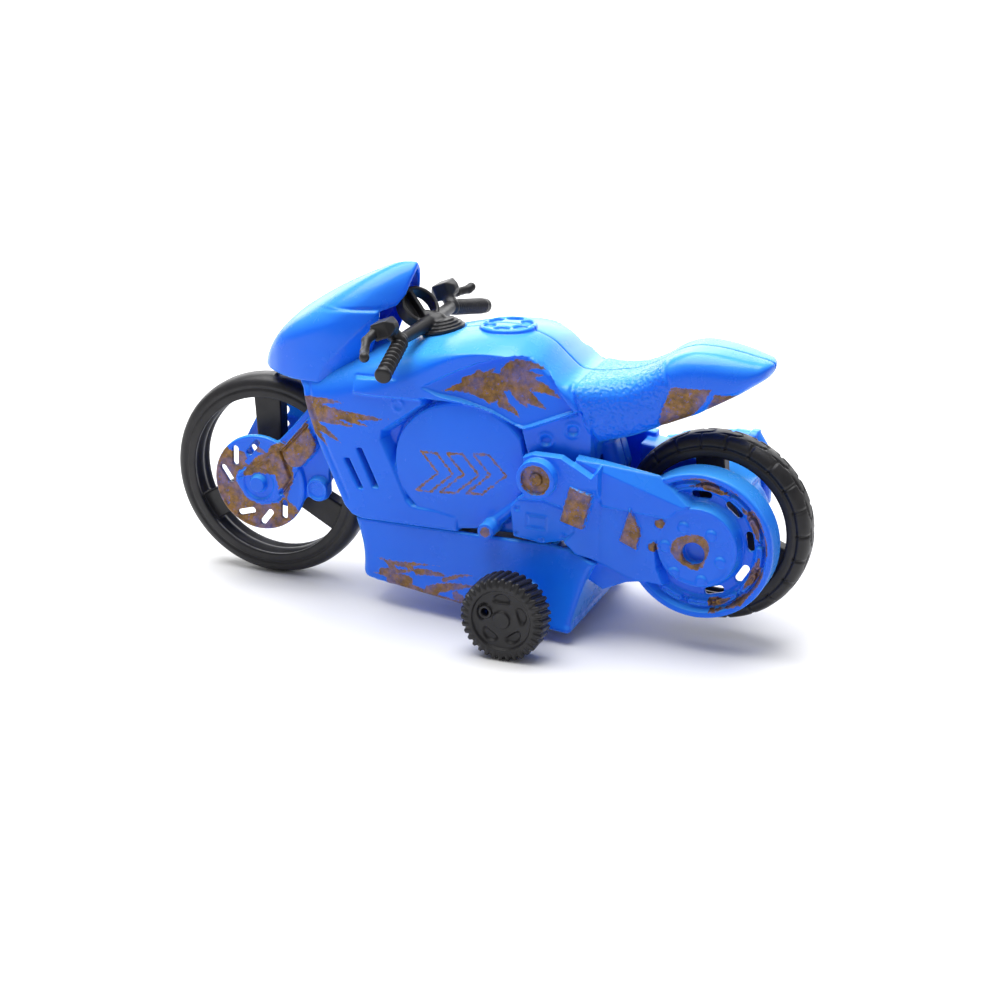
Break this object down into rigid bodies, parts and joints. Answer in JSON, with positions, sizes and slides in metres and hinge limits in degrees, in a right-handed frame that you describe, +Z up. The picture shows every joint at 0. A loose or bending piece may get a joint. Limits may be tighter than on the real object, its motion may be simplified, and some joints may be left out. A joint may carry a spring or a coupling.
{
  "type": "toy motorcycle",
  "caption": "Plastic pull-back sports motorcycle on a pair of small knobby drive wheels, with free-turning road wheels, a spring motor in its belly and a fixed handlebar.",
  "frame": {"origin": "on the ground, under the middle of the toy's outline", "axes": "+X points forward to the front wheel, +Y to the rider's left, +Z up"},
  "size_m": [0.125, 0.0538, 0.0645],
  "materials": {
    "blue_plastic": "glossy moulded plastic with bronze print",
    "black_plastic": "satin moulded plastic",
    "natural_plastic": "unpainted nylon",
    "steel": "drawn wire and strip"
  },
  "bodies": {
    "frame": {"left_body_shell": "blue_plastic", "right_body_shell": "blue_plastic", "belly_pan": "blue_plastic", "nose_cowl": "blue_plastic", "handlebar": "black_plastic", "left_fork_leg": "blue_plastic", "right_fork_leg": "blue_plastic", "left_swing_arm": "blue_plastic", "right_swing_arm": "blue_plastic", "silencer": "blue_plastic", "front_axle": "steel", "rear_axle": "steel", "body_screws": "steel", "belly_screws": "steel", "motor_case_left": "natural_plastic", "motor_case_right": "natural_plastic", "idler_shaft": "steel", "mainspring": "steel"},
    "front_wheel": {"front_wheel": "black_plastic"},
    "rear_wheel": {"rear_wheel": "black_plastic"},
    "drive_set": {"drive_axle": "steel", "left_drive_wheel": "black_plastic", "right_drive_wheel": "black_plastic", "drive_pinion": "natural_plastic"},
    "idler": {"idler_gear": "natural_plastic"},
    "spring_set": {"spring_gear": "natural_plastic", "spring_arbor": "steel"}
  },
  "joints": [
    {"name": "front_wheel_spin", "type": "hinge", "parent": "frame", "child": "front_wheel", "pos_m": [0.0427, 0, 0.0198], "axis": [0, 1, 0], "continuous": true},
    {"name": "rear_wheel_spin", "type": "hinge", "parent": "frame", "child": "rear_wheel", "pos_m": [-0.0449, 0, 0.0209], "axis": [0, 1, 0], "continuous": true},
    {"name": "drive_spin", "type": "hinge", "parent": "frame", "child": "drive_set", "pos_m": [-0.0136, 0, 0.0078], "axis": [0, 1, 0], "continuous": true},
    {"name": "idler_spin", "type": "hinge", "parent": "frame", "child": "idler", "pos_m": [-0.00698, 0, 0.0139], "axis": [0, 1, 0], "continuous": true},
    {"name": "spring_spin", "type": "hinge", "parent": "frame", "child": "spring_set", "pos_m": [0.003, 0, 0.0145], "axis": [0, 1, 0], "continuous": true}
  ],
  "couplings": [
    {"joint": "idler_spin", "follows": "drive_spin", "ratio": -0.38461},
    {"joint": "spring_spin", "follows": "drive_spin", "ratio": 0.12821}
  ]
}
